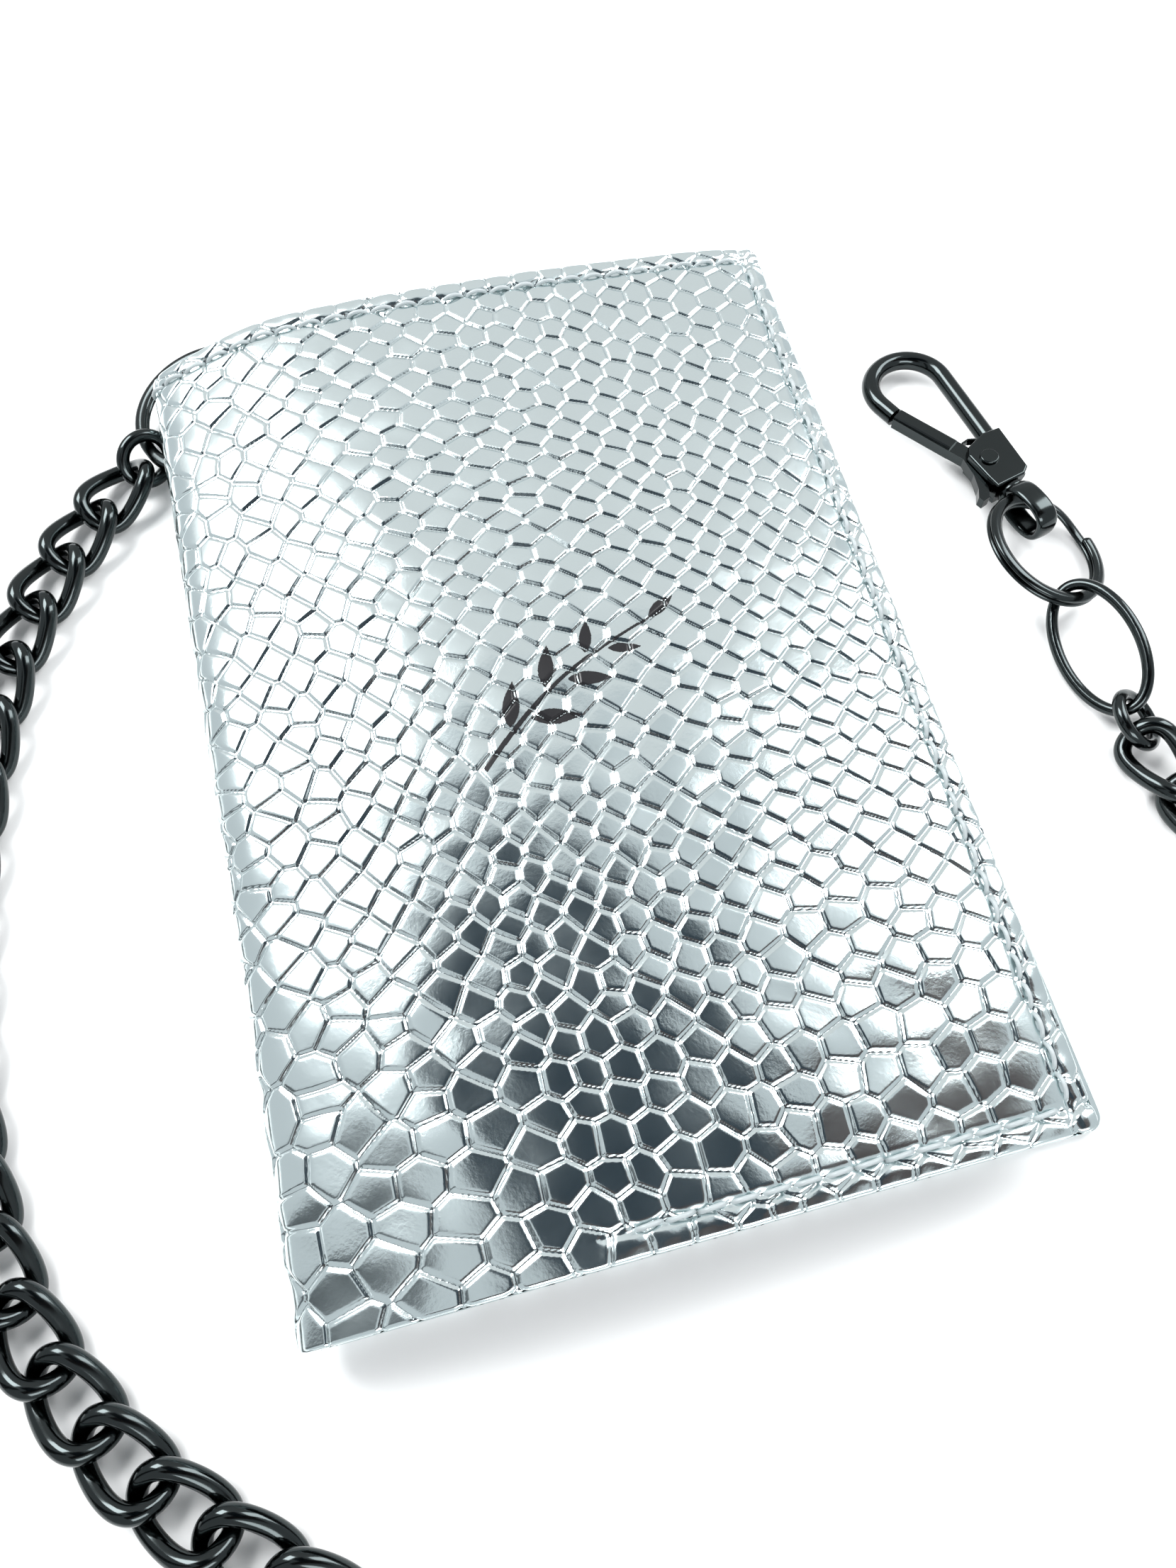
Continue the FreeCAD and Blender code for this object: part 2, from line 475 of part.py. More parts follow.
def build_hook():
    place = frame(HOOK_O, HOOK_DIR, HOOK_DROP_DEG)
    wire, start, direction, nose, centre = arm_path()
    section = Part.Wire(Part.Circle(start, direction, LOOP_WIRE_R).toShape())
    arm = wire.makePipeShell([section], True, True, 0)
    cheek = [(4.15, 2.0), (4.15, -2.0), (4.9, -3.05), (11.6, -3.95), (11.9, -1.6), (11.0, 1.2), (9.8, 2.1), (6.0, 2.1)]
    top = prism(cheek, CHEEK_IN, CHEEK_OUT)
    low = prism(cheek, -CHEEK_OUT, -CHEEK_IN)
    block = Part.makeBox(2.55, 4.0, 2 * CHEEK_OUT, V(4.15, -2.0, -CHEEK_OUT))
    body = arm.fuse([top, low, block]).removeSplitter()
    body = body.cut(Part.makeCylinder(STEM_HOLE_R, 1.4, V(4.05, 0, 0), V(1, 0, 0)))
    body = body.cut(Part.makeCylinder(1.45, 1.6, V(5.4, 0, 0), V(1, 0, 0)))
    body = body.cut(Part.makeCylinder(RIVET_HOLE_R, 6.0, V(RIVET_S, RIVET_L, -3.0)))
    edges = [e for e in body.Edges if abs(abs(e.BoundBox.ZMin) - CHEEK_OUT) < 1e-3 and abs(e.BoundBox.ZMin - e.BoundBox.ZMax) < 1e-3 and e.Length > 1.0 and not isinstance(e.Curve, Part.Circle)]
    try:
        rounded = body.makeFillet(0.3, edges)
        if rounded.isValid() and rounded.Volume > 0.9 * body.Volume:
            body = rounded
    except Exception as error:
        print("hook edges stay sharp:", error)
    write("hook_body", placed(body, place))

    # gate: a bar from the loop's nose to its rivet, with a thumb lever
    tip = (nose.x - 0.28, nose.y - 0.05)
    d = unit((tip[0] - RIVET_S, tip[1] - (RIVET_L + 0.35)))
    n = (-d[1], d[0])
    hw = 0.98
    pts = [(tip[0] - 0.02 + n[0] * hw, tip[1] + n[1] * hw), (10.6 + n[0] * hw, RIVET_L + 0.35 + (10.6 - RIVET_S) * d[1] / d[0] + n[1] * hw),
           (7.6, 2.75), (5.6, 3.55), (4.5, 4.35), (3.75, 4.2), (3.9, 3.2), (5.3, 2.3), (6.85, 2.25), (7.05, 0.2), (7.5, -1.0), (8.6, -1.15),
           (10.2 - n[0] * hw, RIVET_L + 0.35 + (10.2 - RIVET_S) * d[1] / d[0] - n[1] * hw), (tip[0] - 0.10 - n[0] * hw, tip[1] - n[1] * hw)]
    gate = prism(pts, -GATE_HALF, GATE_HALF)
    # the bar beyond the cheeks is as thick as the loop's wire
    bar_from = 12.6
    y_at = RIVET_L + 0.35 + (bar_from - RIVET_S) * d[1] / d[0]
    bar = [(tip[0] - 0.02 + n[0] * hw, tip[1] + n[1] * hw), (bar_from + n[0] * hw, y_at + n[1] * hw), (bar_from - n[0] * hw, y_at - n[1] * hw), (tip[0] - 0.10 - n[0] * hw, tip[1] - n[1] * hw)]
    thick = prism(bar, -1.05, 1.05)
    thick = thick.makeFillet(0.45, [e for e in thick.Edges if e.Length > 5.0])
    gate = gate.fuse(thick).removeSplitter()
    gate = gate.cut(Part.makeCylinder(RIVET_HOLE_R, 6.0, V(RIVET_S, RIVET_L, -3.0)))
    write("hook_gate", placed(gate, place))
    rivet = Part.makeCylinder(RIVET_R, 2 * CHEEK_OUT + 0.1, V(RIVET_S, RIVET_L, -CHEEK_OUT - 0.05))
    for s in (1, -1):
        head = Part.makeCylinder(1.15, 0.3, V(RIVET_S, RIVET_L, CHEEK_OUT + 0.03 if s > 0 else -CHEEK_OUT - 0.33))
        head = head.makeFillet(0.18, [e for e in head.Edges if abs(e.BoundBox.ZMin - (s * (CHEEK_OUT + 0.33))) < 1e-3 and abs(e.BoundBox.ZMax - e.BoundBox.ZMin) < 1e-3])
        rivet = rivet.fuse(head)
    write("gate_rivet", placed(rivet.removeSplitter(), place))
    spring = prism([(9.6, -1.24), (11.4, -1.46), (12.3, -1.15), (12.75, -0.3), (12.6, 0.72), (12.42, 0.70), (12.55, -0.28), (12.15, -1.0), (11.35, -1.28), (9.6, -1.05)], -0.5, 0.5)
    write("gate_spring", placed(spring, place))

    # swivel eye: a band round the key ring, with a stem turned in the hook's base
    def ring_section(s0, s1, hz, r):
        b = Part.makeBox(s1 - s0, 2.6, 2 * hz, V(s0, -1.3, -hz))
        return b.makeFillet(r, [e for e in b.Edges if abs(e.BoundBox.YMax - e.BoundBox.YMin) > 2.0])
    eye = ring_section(-3.4, 3.95, 2.75, 1.9).cut(ring_section(-2.3, 3.0, 1.72, 1.0))
    eye = eye.makeFillet(0.35, [e for e in eye.Edges if abs(abs(e.BoundBox.YMin) - 1.3) < 1e-3 and abs(e.BoundBox.YMax - e.BoundBox.YMin) < 1e-3 and abs(e.BoundBox.ZMax) > 1.6])
    eye = eye.fuse(Part.makeCylinder(STEM_R, 2.3, V(3.4, 0, 0), V(1, 0, 0)))
    eye = eye.fuse(Part.makeCylinder(1.34, 0.6, V(5.55, 0, 0), V(1, 0, 0))).removeSplitter()
    write("swivel_eye", placed(eye, place))
    for name, p in [("stem", V(4.6, 0, 0)), ("rivet", V(RIVET_S, RIVET_L, 0)), ("eye wire", V(1.906, 0, 0)), ("mouth", V(19.0, 0.8, 0)), ("loop centre", V(centre[0], centre[1], 0))]:
        q = place.multVec(p)
        print(name, [round(x, 4) for x in q])
    for name, p in [("s", V(1, 0, 0)), ("l", V(0, 1, 0)), ("w", V(0, 0, 1))]:
        q = place.Rotation.multVec(p)
        print(name, [round(x, 5) for x in q])


os.makedirs("parts", exist_ok=True)
build_wallet()
build_chain()
build_hook()
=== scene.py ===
import json
import math
import bpy
import numpy as np
from mathutils import Matrix, Vector


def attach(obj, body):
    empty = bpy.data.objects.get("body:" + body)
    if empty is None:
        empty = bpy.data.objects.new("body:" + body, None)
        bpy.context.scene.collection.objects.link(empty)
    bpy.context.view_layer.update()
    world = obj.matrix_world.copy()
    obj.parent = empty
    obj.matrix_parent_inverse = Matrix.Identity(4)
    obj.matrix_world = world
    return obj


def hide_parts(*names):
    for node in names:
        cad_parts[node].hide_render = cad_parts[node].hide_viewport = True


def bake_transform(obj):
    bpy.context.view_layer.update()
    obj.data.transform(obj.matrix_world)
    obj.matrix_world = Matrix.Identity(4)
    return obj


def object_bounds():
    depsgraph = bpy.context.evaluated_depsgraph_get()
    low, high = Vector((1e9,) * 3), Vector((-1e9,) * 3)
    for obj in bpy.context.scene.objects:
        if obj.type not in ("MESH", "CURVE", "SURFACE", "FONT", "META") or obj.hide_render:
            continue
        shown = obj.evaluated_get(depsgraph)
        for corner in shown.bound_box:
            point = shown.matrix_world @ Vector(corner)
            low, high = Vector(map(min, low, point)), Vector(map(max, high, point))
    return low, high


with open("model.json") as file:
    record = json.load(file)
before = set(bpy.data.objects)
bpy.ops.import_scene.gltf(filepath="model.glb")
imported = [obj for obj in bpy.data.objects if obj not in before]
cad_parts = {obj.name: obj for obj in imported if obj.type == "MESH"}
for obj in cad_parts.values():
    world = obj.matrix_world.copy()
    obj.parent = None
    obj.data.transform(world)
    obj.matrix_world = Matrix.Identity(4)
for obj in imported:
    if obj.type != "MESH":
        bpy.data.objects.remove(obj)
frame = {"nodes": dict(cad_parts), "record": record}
size_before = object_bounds()
MM = 0.001
rng = np.random.default_rng(7)

# ------------------------------------------------------------------ materials


def material(name, color, metallic, roughness, bump=None, rough_var=0.0, extra=None):
    m = bpy.data.materials.new(name)
    m.use_nodes = True
    nt = m.node_tree
    b = nt.nodes["Principled BSDF"]
    b.inputs["Base Color"].default_value = (*color, 1)
    b.inputs["Metallic"].default_value = metallic
    b.inputs["Roughness"].default_value = roughness
    tc = nt.nodes.new("ShaderNodeTexCoord")
    last = None
    for scale, dist, strength, detail in bump or []:
        n = nt.nodes.new("ShaderNodeTexNoise")
        n.inputs["Scale"].default_value = scale
        n.inputs["Detail"].default_value = detail
        nt.links.new(tc.outputs["Object"], n.inputs["Vector"])
        bp = nt.nodes.new("ShaderNodeBump")
        bp.inputs["Strength"].default_value = strength
        bp.inputs["Distance"].default_value = dist
        nt.links.new(n.outputs["Fac"], bp.inputs["Height"])
        if last:
            nt.links.new(last.outputs["Normal"], bp.inputs["Normal"])
        last = bp
    if last:
        nt.links.new(last.outputs["Normal"], b.inputs["Normal"])
    if rough_var:
        n = nt.nodes.new("ShaderNodeTexNoise")
        n.inputs["Scale"].default_value = 140.0
        n.inputs["Detail"].default_value = 4.0
        nt.links.new(tc.outputs["Object"], n.inputs["Vector"])
        r = nt.nodes.new("ShaderNodeMapRange")
        r.inputs["From Min"].default_value = 0.3
        r.inputs["From Max"].default_value = 0.7
        r.inputs["To Min"].default_value = roughness - rough_var
        r.inputs["To Max"].default_value = roughness + rough_var
        nt.links.new(n.outputs["Fac"], r.inputs["Value"])
        nt.links.new(r.outputs["Result"], b.inputs["Roughness"])
    return m


skin = material("metallic_skin", (0.69, 0.78, 0.79), 1.0, 0.15, bump=[(2600.0, 0.00002, 0.35, 3.0), (420.0, 0.00006, 0.2, 4.0)], rough_var=0.04)
hardware = material("gunmetal", (0.040, 0.047, 0.048), 1.0, 0.14, bump=[(380.0, 0.00003, 0.15, 2.0)], rough_var=0.04)
lining = material("lining", (0.045, 0.045, 0.05), 0.0, 0.75, bump=[(2400.0, 0.00006, 0.5, 3.0)])
board = material("board", (0.40, 0.38, 0.35), 0.0, 0.8, bump=[(900.0, 0.00006, 0.4, 3.0)])
thread = material("thread", (0.38, 0.42, 0.43), 0.2, 0.5, bump=[(5200.0, 0.00004, 0.6, 2.0)])
foil = material("foil", (0.012, 0.012, 0.014), 0.3, 0.28, bump=[(900.0, 0.00003, 0.3, 3.0)])
LOOK = {"metallic_skin": skin, "hardware": hardware, "lining": lining, "board": board, "thread": thread, "foil": foil}
for entry in frame["record"]["subparts"]:
    o = frame["nodes"][entry["node"]]
    o.data.materials.clear()
    o.data.materials.append(LOOK[entry["material_slot"]])


def mesh_object(name, verts, faces, mat, slot_name, smooth=True):
    me = bpy.data.meshes.new(name)
    me.from_pydata([tuple(v) for v in np.asarray(verts) * MM], [], [tuple(int(i) for i in f) for f in faces])
    me.materials.append(mat)
    if smooth:
        me.polygons.foreach_set("use_smooth", [True] * len(me.polygons))
    me.update()
    o = bpy.data.objects.new(name, me)
    bpy.context.scene.collection.objects.link(o)
    return o


# ------------------------------------------------------------------ cover shape
SPINE = [(-34.3, 0.0), (-36.3, 0.38), (-38.1, 1.45), (-39.4, 3.2), (-40.0, 5.5), (-39.3, 7.3), (-37.4, 8.55), (-34.4, 9.4), (-31.0, 10.05)]
TOP = [(-26.9, 10.75), (-21.2, 11.3), (-13.0, 11.5), (-4.5, 11.3), (7.0, 10.75), (18.5, 9.85), (28.0, 8.95), (34.0, 8.15), (37.5, 7.35), (40.2, 6.5)]
Y0, Y1 = -57.5, 57.5
EDGE_NEAR, EDGE_FAR = 36.6, 39.6
SKIN_T = 0.9
ROUND = 0.42


def natural_spline(points):
    p = np.array(points, float)
    s = np.r_[0, np.cumsum(np.hypot(*np.diff(p, axis=0).T))]
    n = len(s)
    h = np.diff(s)
    a = np.zeros((n, n))
    b = np.zeros((n, 2))
    a[0, 0] = a[-1, -1] = 1
    for i in range(1, n - 1):
        a[i, i - 1], a[i, i], a[i, i + 1] = h[i - 1], 2 * (h[i - 1] + h[i]), h[i]
        b[i] = 6 * ((p[i + 1] - p[i]) / h[i] - (p[i] - p[i - 1]) / h[i - 1])
    m = np.linalg.solve(a, b)
    t = np.linspace(0, s[-1], 4000)
    k = np.clip(np.searchsorted(s, t, side="right") - 1, 0, n - 2)
    hk, u0, u1 = h[k][:, None], (t - s[k])[:, None], (s[k + 1] - t)[:, None]
    q = (m[k] * u1 ** 3 + m[k + 1] * u0 ** 3) / (6 * hk) + (p[k] / hk - m[k] * hk / 6) * u1 + (p[k + 1] / hk - m[k + 1] * hk / 6) * u0
    length = np.r_[0, np.cumsum(np.hypot(*np.diff(q, axis=0).T))]
    return q, length


CURVE, LENGTH = natural_spline(SPINE + TOP)
U_FRONT = float(np.interp(-31.0, CURVE[1500:, 0], LENGTH[1500:]))


def profile(u):
    x, z = np.interp(u, LENGTH, CURVE[:, 0]), np.interp(u, LENGTH, CURVE[:, 1])
    e = 0.15
    dx = np.interp(u + e, LENGTH, CURVE[:, 0]) - np.interp(u - e, LENGTH, CURVE[:, 0])
    dz = np.interp(u + e, LENGTH, CURVE[:, 1]) - np.interp(u - e, LENGTH, CURVE[:, 1])
    n = np.hypot(dx, dz)
    return x, z, -dz / n, dx / n


def front_at(u, y, h):
    x, z, nx, nz = profile(u)
    # the fold pulls the far corner in a little
    y = y - 2.2 * smooth((y - 44) / 13.5) * smooth((27 - u) / 16)
    return np.stack([x + nx * h, y, z + nz * h], -1)


def back_at(u, y, h):
    return np.stack([-34.3 + u, y, -h], -1)


def front_length(y):
    x = EDGE_NEAR + (EDGE_FAR - EDGE_NEAR) * (np.clip(y, Y0, Y1) - Y0) / (Y1 - Y0)
    return np.interp(x, CURVE[1500:, 0], LENGTH[1500:])


def back_length(y):
    return 74.3 + 0 * y


def smooth(x):
    x = np.clip(x, 0, 1)
    return x * x * (3 - 2 * x)


# ------------------------------------------------------------------ embossing


def running(size, lo, hi):
    """How many cells from lo to each point, for a cell size that changes along the way."""
    t = np.linspace(lo, hi, 2000)
    c = np.r_[0, np.cumsum(np.diff(t) / ((size(t[1:]) + size(t[:-1])) / 2))]
    return t, c


SU = running(lambda u: 5.0 - 1.25 * smooth((u - 14) / 30), -5, 100)
SY = running(lambda y: 2.35 + 1.0 * smooth((-22 - y) / 30) + 0.4 * smooth((y - 15) / 30), -62, 62)


def emboss(u, y, seed):
    """Height of the embossed face in mm, 0 on the scales' flat tops."""
    r = np.random.default_rng(seed)
    table = r.random((64, 64, 5))
    wob = 0.28 * np.sin(u * 0.11 + y * 0.05 + seed) + 0.22 * np.sin(y * 0.09 - u * 0.04 + 2 * seed)
    a = np.interp(u, *SU) + wob
    b = np.interp(y, *SY) + 0.25 * np.sin(u * 0.08 + y * 0.07)
    # scales stand in staggered rows
    ia, ib = np.floor(a).astype(int), np.floor(b).astype(int)
    jit = 0.15 + 0.13 * smooth((34 - u) / 24) + 0.07 * smooth((-20 - y) / 20)
    scale = 1.0 / np.array([np.interp(u, SU[0][1:], np.diff(SU[1]) / np.diff(SU[0])), np.interp(y, SY[0][1:], np.diff(SY[1]) / np.diff(SY[0]))])
    best = np.full(u.shape, 1e9)
    px = np.zeros(u.shape)
    py = np.zeros(u.shape)
    cell = np.zeros(u.shape, int)
    cand = []
    for da in range(-2, 3):
        for db in range(-2, 3):
            ca, cb = ia + da, ib + db
            t = table[ca % 64, cb % 64]
            sx = (ca + 0.5 * (cb % 2) + 0.25 + jit * (t[..., 0] - 0.5) * 2 - a) * scale[0]
            sy = (cb + 0.5 + jit * (t[..., 1] - 0.5) * 2 - b) * scale[1]
            d = sx * sx + sy * sy
            cand.append((sx, sy))
            near = d < best
            best = np.where(near, d, best)
            px, py = np.where(near, sx, px), np.where(near, sy, py)
            cell = np.where(near, (ca % 64) * 64 + cb % 64, cell)
    edge = np.full(u.shape, 1e9)
    for sx, sy in cand:
        dx, dy = sx - px, sy - py
        n = np.hypot(dx, dy)
        ok = n > 1e-6
        e = ((sx + px) / 2 * dx + (sy + py) / 2 * dy) / np.where(ok, n, 1)
        edge = np.where(ok, np.minimum(edge, e), edge)
    t = table.reshape(-1, 5)[cell]
    h = -0.12 * (1 - smooth(edge / 0.46)) ** 1.4 - 0.16 * np.clip(1 - edge / 0.17, 0, 1)
    # a scale's top leans a little its own way, and is slightly domed
    h += (t[..., 2] - 0.5) * 0.075 * px + (t[..., 3] - 0.5) * 0.075 * py
    h -= 0.012 * (px * px + py * py) / 2.0
    return h


def wrinkle(u, y, seed):
    h = np.zeros(u.shape)
    r = np.random.default_rng(seed)
    for k in range(18):
        f = 0.25 + 1.5 * r.random()
        w = r.random() * 2 * math.pi
        h += 0.010 / (0.6 + f) * np.sin(f * (u * math.cos(w) + y * math.sin(w)) + 6.28 * r.random())
    return h


STITCH_PITCH, INSET = 3.0, 2.4


def seam(e, along, strength):
    """The dip along a stitch line, deeper at each hole."""
    dip = -0.20 * np.exp(-((e - INSET) / 0.42) ** 2)
    hole = -0.22 * np.exp(-((e - INSET) / 0.3) ** 2) * np.exp(-(((along / STITCH_PITCH + 0.5) % 1 - 0.5) * STITCH_PITCH / 0.33) ** 2)
    bulge = 0.12 * np.exp(-((e - 1.2) / 0.75) ** 2) * (0.75 + 0.25 * np.cos(2 * math.pi * along / STITCH_PITCH))
    return strength * (dip + hole + bulge)


def cover(name, at, length, seed, nu, nv, hems):
    """One skin: the embossed outer face, its rounded edges and the turned hem under them."""
    def edges_of(u, y):
        e_far, e_near, e_free = Y1 - y, y - Y0, length(y) - u
        return e_far, e_near, e_free

    def height(u, y):
        e_far, e_near, e_free = edges_of(u, y)
        h = emboss(u, y, seed) + wrinkle(u, y, seed + 5)
        if hems:
            on_near = smooth((u - (U_FRONT + 4.0)) / 2.0)
            h = h + seam(e_free, y - Y0, 1.0) + seam(e_far, u, 1.0) + seam(e_near, u, on_near)
        for e in (e_far, e_near, e_free):
            ee = np.clip(e, 0, ROUND)
            h = h - (ROUND - np.sqrt(np.maximum(ROUND ** 2 - (ROUND - ee) ** 2, 0)))
        return h

    def corner(y):
        """The free edge is cut back where it rounds into a corner."""
        r = 1.6
        e = np.clip(np.minimum(Y1 - y, y - Y0), 0, r)
        return r - np.sqrt(np.maximum(r * r - (r - e) ** 2, 0))

    ease = np.linspace(0, 1, nu)
    ys = np.linspace(Y0, Y1, nv)
    # closer rows at the two ends and the free edge, for their rounding
    ys = np.sort(np.r_[ys, Y0 + np.array([0.05, 0.12, 0.2, 0.3, 0.42]), Y1 - np.array([0.05, 0.12, 0.2, 0.3, 0.42])])
    ends = length(ys) - corner(ys)
    grid_u = ease[None, :] * ends[:, None]
    close = np.stack([ends - k for k in (0.3, 0.2, 0.12, 0.05)], 1)
    grid_u = np.sort(np.concatenate([grid_u, close], 1), axis=1)
    grid_y = np.repeat(ys[:, None], grid_u.shape[1], 1)
    h = height(grid_u, grid_y)
    # the free edge's own rounding follows the cut-back line
    top = at(grid_u, grid_y, h)
    rows, cols = grid_u.shape
    verts = [top.reshape(-1, 3)]
    idx = np.arange(rows * cols).reshape(rows, cols)
    faces = np.stack([idx[:-1, :-1], idx[:-1, 1:], idx[1:, 1:], idx[1:, :-1]], -1).reshape(-1, 4)
    # the three free sides as one line: near end outwards, up the free edge, far end inwards
    line = np.r_[idx[0, :], idx[1:-1, -1], idx[-1, ::-1]]
    lu, ly = grid_u.reshape(-1)[line], grid_y.reshape(-1)[line]
    inward = np.zeros((len(line), 2))
    inward[: cols, 1] = 1
    inward[-cols:, 1] = -1
    inward[cols - 1: -cols + 1, 0] = -1
    inward[cols - 1] = (-0.7, 0.7)
    inward[-cols] = (-0.7, -0.7)
    base = len(verts[0])
    prev = line
    strips = [faces]
    count = base
    for inset, depth in ((0.0, SKIN_T / 2), (0.0, SKIN_T - 0.3), (0.10, SKIN_T - 0.1), (0.3, SKIN_T), (1.2, SKIN_T), (4.5, SKIN_T)):
        u2 = np.maximum(lu + inward[:, 0] * inset, 0)
        y2 = ly + inward[:, 1] * inset
        ring = at(u2, y2, np.full(len(line), -depth) + 0.4 * wrinkle(u2 * 1.7, y2 * 1.7, seed + 9) * (inset > 0))
        verts.append(ring)
        cur = np.arange(count, count + len(line))
        count += len(line)
        strips.append(np.stack([prev[:-1], cur[:-1], cur[1:], prev[1:]], -1))
        prev = cur
    v = np.concatenate(verts)
    f = np.concatenate(strips)
    return mesh_object(name, v, f, skin, "metallic_skin"), height


N = 1.0
front, front_height = cover("front_and_spine_skin", front_at, front_length, 3, int(500 * N), int(620 * N), True)
back, back_height = cover("back_cover_skin", back_at, back_length, 11, int(200 * N), int(260 * N), False)
# the back face winds the other way round
back.data.flip_normals()


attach(back, "wallet_back")
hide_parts("back_skin")
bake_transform(front)
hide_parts("front_skin", "spine_skin")

# ------------------------------------------------------------------ stitching


def tube(path, radius, sides=8, up=None, caps=True):
    """Vertices and faces of a round thread along a path."""
    p = np.asarray(path, float)
    t = np.gradient(p, axis=0)
    t /= np.linalg.norm(t, axis=1)[:, None]
    up = np.array([0, 0, 1.0]) if up is None else np.asarray(up, float)
    s = np.cross(t, up)
    s /= np.linalg.norm(s, axis=1)[:, None]
    n = np.cross(s, t)
    w = np.linspace(0, 2 * math.pi, sides, endpoint=False)
    r = np.broadcast_to(radius, (len(p),))
    ring = p[:, None, :] + r[:, None, None] * (np.cos(w)[None, :, None] * s[:, None, :] + np.sin(w)[None, :, None] * n[:, None, :])
    v = ring.reshape(-1, 3)
    i = np.arange(len(p) * sides).reshape(len(p), sides)
    f = [np.stack([i[:-1], i[1:], np.roll(i[1:], -1, 1), np.roll(i[:-1], -1, 1)], -1).reshape(-1, 4)]
    faces = [tuple(x) for x in f[0]]
    if caps:
        faces += [tuple(i[0]), tuple(i[-1][::-1])]
    return v, faces


def joined(parts):
    vs, fs, k = [], [], 0
    for v, f in parts:
        vs.append(v)
        fs += [tuple(a + k for a in face) for face in f]
        k += len(v)
    return np.concatenate(vs), fs


def one_stitch(ua, ya, ub, yb):
    s = np.linspace(0, 1, 9)
    u, y = ua + (ub - ua) * s, ya + (yb - ya) * s
    lift = -0.62 + 0.86 * np.minimum(1, np.sin(math.pi * np.clip(s, 0, 1)) ** 0.55 * 1.02)
    pts = front_at(u, y, lift)
    _, _, nx, nz = profile(np.array([(ua + ub) / 2]))
    return tube(pts, 0.24, 8, up=(nx[0], 0, nz[0]))


front_parts, spine_parts = [], []
stitch_u = np.arange(0.5, 200) * STITCH_PITCH
for y_line, start in ((Y1 - INSET, 9.0), (Y0 + INSET, U_FRONT + 5.5)):
    end = front_length(np.array(y_line)) - INSET
    for c in stitch_u:
        a, b = c - STITCH_PITCH / 2 + 0.16, c + STITCH_PITCH / 2 - 0.16
        if a < start or b > end + 0.4:
            continue
        w = rng.normal(0, 0.05, 2)
        part = one_stitch(a, y_line + w[0] - 0.07, b, y_line + w[1] + 0.07)
        (front_parts if a > U_FRONT else spine_parts).append(part)
for k in range(200):
    c = (k + 0.5) * STITCH_PITCH
    a, b = Y0 + c - STITCH_PITCH / 2 + 0.16, Y0 + c + STITCH_PITCH / 2 - 0.16
    if a < Y0 + INSET or b > Y1 - INSET + 0.3:
        continue
    w = rng.normal(0, 0.05, 2)
    front_parts.append(one_stitch(front_length(np.array(a)) - INSET + w[0] - 0.05, a, front_length(np.array(b)) - INSET + w[1] + 0.05, b))
o = mesh_object("front_thread", *joined(front_parts), thread, "thread")
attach(o, "wallet_front")
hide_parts("front_stitching")
if spine_parts:
    o = mesh_object("spine_thread", *joined(spine_parts), thread, "thread")
    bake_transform(o)

# ------------------------------------------------------------------ the mark: a leafy sprig in dark foil


def sprig_distance(s, l):
    """Negative inside the sprig, in its own plane."""
    def bow(q):
        return 1.6 * np.sin((q + 12.5) / 25.0 * math.pi)
    width = 0.36 * (1 - 0.5 * np.clip((s + 12.5) / 25, 0, 1))
    d = np.maximum(np.abs(l - bow(s)) - width, np.abs(s) - 12.5)
    for base, side, length in ((-7.5, 1, 5.6), (-5.2, -1, 5.6), (-1.5, 1, 5.2), (0.8, -1, 5.0), (4.5, 1, 4.2), (6.6, -1, 3.8), (12.6, 0, 4.2)):
        a = math.radians(42.0 * side)
        q = s - base
        r = l - ((float(bow(np.array(base))) if abs(base) < 12.5 else 0.0) + side * 0.3)
        p, q2 = q * math.cos(a) + r * math.sin(a), -q * math.sin(a) + r * math.cos(a)
        f = np.clip((p - 0.35) / length, 0, 1)
        half = 0.17 * length * np.sin(math.pi * f ** 0.8)
        inside = np.maximum(np.abs(q2) - half, np.maximum(0.35 - p, p - 0.35 - length))
        d = np.minimum(d, inside)
    return d


step = 0.075
gx, gy = np.meshgrid(np.arange(-17, 17, step), np.arange(-13, 13, step))
ang = math.radians(33.0)
gs = (gx + 1.0) * math.cos(ang) + (gy + 2.0) * math.sin(ang)
gl = -(gx + 1.0) * math.sin(ang) + (gy + 2.0) * math.cos(ang)
keep = sprig_distance(gs, gl) < 0
gu = np.interp(gx, CURVE[1500:, 0], LENGTH[1500:])
pts = front_at(gu, gy, front_height(gu, gy) + 0.035).reshape(-1, 3)
i = np.arange(gx.size).reshape(gx.shape)
quad = np.stack([i[:-1, :-1], i[:-1, 1:], i[1:, 1:], i[1:, :-1]], -1)
ok = keep[:-1, :-1] & keep[:-1, 1:] & keep[1:, 1:] & keep[1:, :-1]
quad = quad[ok]
used, inv = np.unique(quad, return_inverse=True)
o = mesh_object("front_mark", pts[used], inv.reshape(quad.shape), foil, "foil")
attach(o, "wallet_front")
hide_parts("front_emblem")

